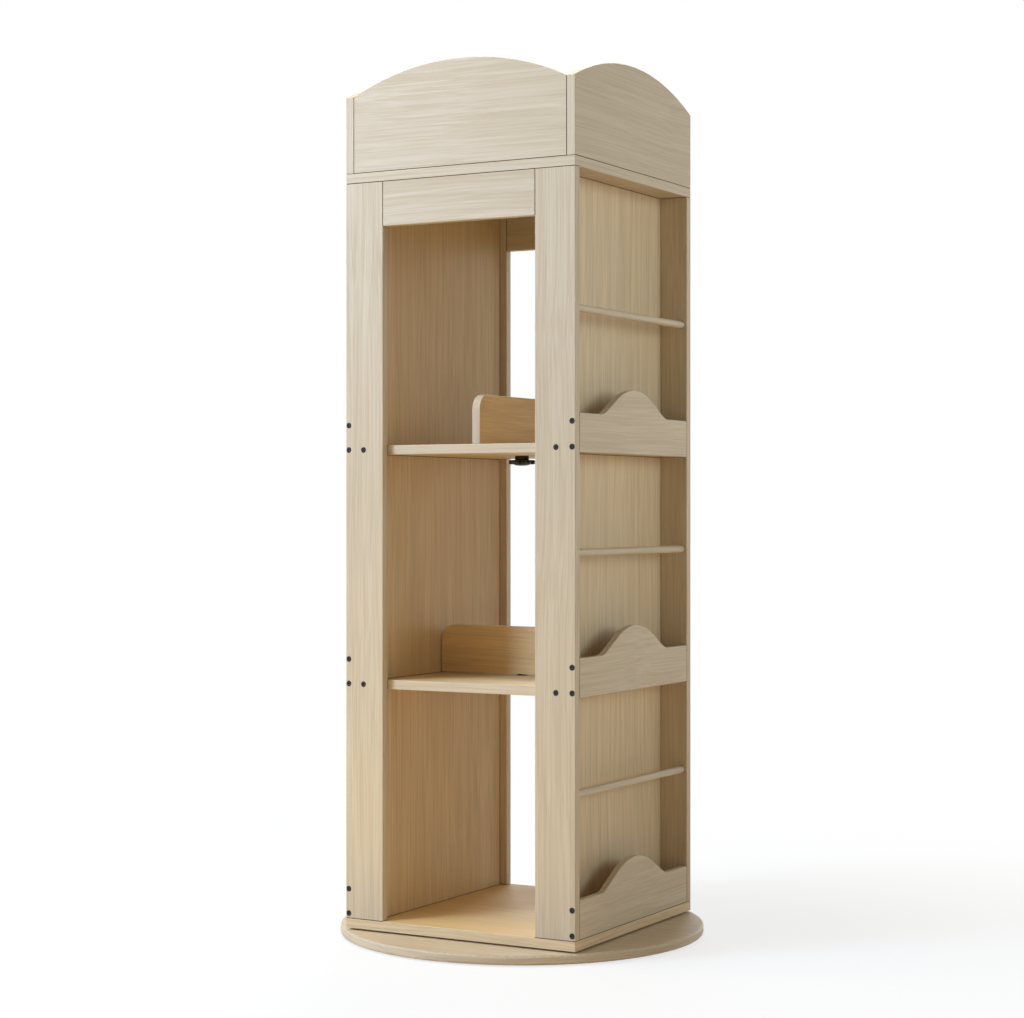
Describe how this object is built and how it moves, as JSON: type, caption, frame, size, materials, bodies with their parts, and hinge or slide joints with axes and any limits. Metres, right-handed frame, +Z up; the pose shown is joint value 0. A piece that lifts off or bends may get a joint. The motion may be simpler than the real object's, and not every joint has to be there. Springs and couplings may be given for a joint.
{
  "type": "revolving bookcase",
  "caption": "Tall square bookcase of pale wood-grain board that turns on a round ball-bearing base, with open tiers, side display pockets, swivel dividers and an arched top tray.",
  "frame": {"origin": "on the floor under the base's foot pads, on the axis that the case turns on", "axes": "+Z up along the turning axis, +X to the right seen from the front, -Y towards the front at rest"},
  "size_m": [0.4999, 0.5, 1.1763],
  "materials": {
    "board": "pale oak-grain melamine, satin",
    "rod_wood": "turned pale hardwood, clear matt lacquer",
    "dowel_wood": "bare beech",
    "dark_screw": "black oxide, satin",
    "zinc_screw": "bright zinc plate",
    "ring_metal": "plain extruded aluminium",
    "ball_steel": "polished steel",
    "cage_plastic": "natural nylon",
    "foot_felt": "pressed felt",
    "washer_plastic": "black nylon",
    "insert_brass": "turned brass",
    "knob_plastic": "black moulded plastic",
    "stud_steel": "bright zinc plate"
  },
  "bodies": {
    "base": {"base_disc": "board", "foot_pads": "foot_felt", "bearing_lower_ring": "ring_metal", "bearing_lower_screws": "zinc_screw"},
    "ball_cage": {"bearing_cage": "cage_plastic", "bearing_balls": "ball_steel"},
    "carousel": {"bearing_upper_ring": "ring_metal", "bearing_upper_screws": "zinc_screw", "bottom_board": "board", "top_board": "board", "upper_shelf": "board", "lower_shelf": "board", "stile_right_rear": "board", "stile_right_front": "board", "stile_left_rear": "board", "stile_left_front": "board", "header_rear": "board", "header_front": "board", "crown_rear": "board", "crown_front": "board", "crown_right": "board", "crown_left": "board", "side_panel_right_top": "board", "side_panel_right_middle": "board", "side_panel_right_bottom": "board", "side_panel_left_top": "board", "side_panel_left_middle": "board", "side_panel_left_bottom": "board", "pocket_lip_right_top": "board", "pocket_lip_right_middle": "board", "pocket_lip_right_bottom": "board", "pocket_lip_left_top": "board", "pocket_lip_left_middle": "board", "pocket_lip_left_bottom": "board", "pocket_rod_right_top": "rod_wood", "pocket_rod_right_middle": "rod_wood", "pocket_rod_right_bottom": "rod_wood", "pocket_rod_left_top": "rod_wood", "pocket_rod_left_middle": "rod_wood", "pocket_rod_left_bottom": "rod_wood", "header_dowels": "dowel_wood", "crown_foot_dowels": "dowel_wood", "crown_corner_dowels": "dowel_wood", "base_screws": "zinc_screw", "roof_screws": "zinc_screw", "stile_screws": "dark_screw", "upper_pivot_washer": "washer_plastic", "lower_pivot_washer": "washer_plastic"},
    "upper_divider": {"upper_divider": "board", "upper_divider_insert": "insert_brass"},
    "lower_divider": {"lower_divider": "board", "lower_divider_insert": "insert_brass"},
    "upper_knob": {"upper_knob": "knob_plastic", "upper_knob_stud": "stud_steel"},
    "lower_knob": {"lower_knob": "knob_plastic", "lower_knob_stud": "stud_steel"}
  },
  "joints": [
    {"name": "carousel_spin", "type": "hinge", "parent": "base", "child": "carousel", "pos_m": [0, 0, 0.0124], "axis": [0, 0, 1], "continuous": true},
    {"name": "cage_spin", "type": "hinge", "parent": "base", "child": "ball_cage", "pos_m": [0, 0, 0.0124], "axis": [0, 0, 1], "continuous": true},
    {"name": "upper_divider_swivel", "type": "hinge", "parent": "carousel", "child": "upper_divider", "pos_m": [0, 0, 0.6688], "axis": [0, 0, 1], "continuous": true},
    {"name": "lower_divider_swivel", "type": "hinge", "parent": "carousel", "child": "lower_divider", "pos_m": [0, 0, 0.3533], "axis": [0, 0, 1], "continuous": true},
    {"name": "upper_knob_turn", "type": "hinge", "parent": "upper_divider", "child": "upper_knob", "pos_m": [0, 0, 0.6563], "axis": [0, 0, 1], "continuous": true},
    {"name": "lower_knob_turn", "type": "hinge", "parent": "lower_divider", "child": "lower_knob", "pos_m": [0, 0, 0.3408], "axis": [0, 0, 1], "continuous": true}
  ],
  "couplings": [
    {"joint": "cage_spin", "follows": "carousel_spin", "ratio": 0.5}
  ]
}
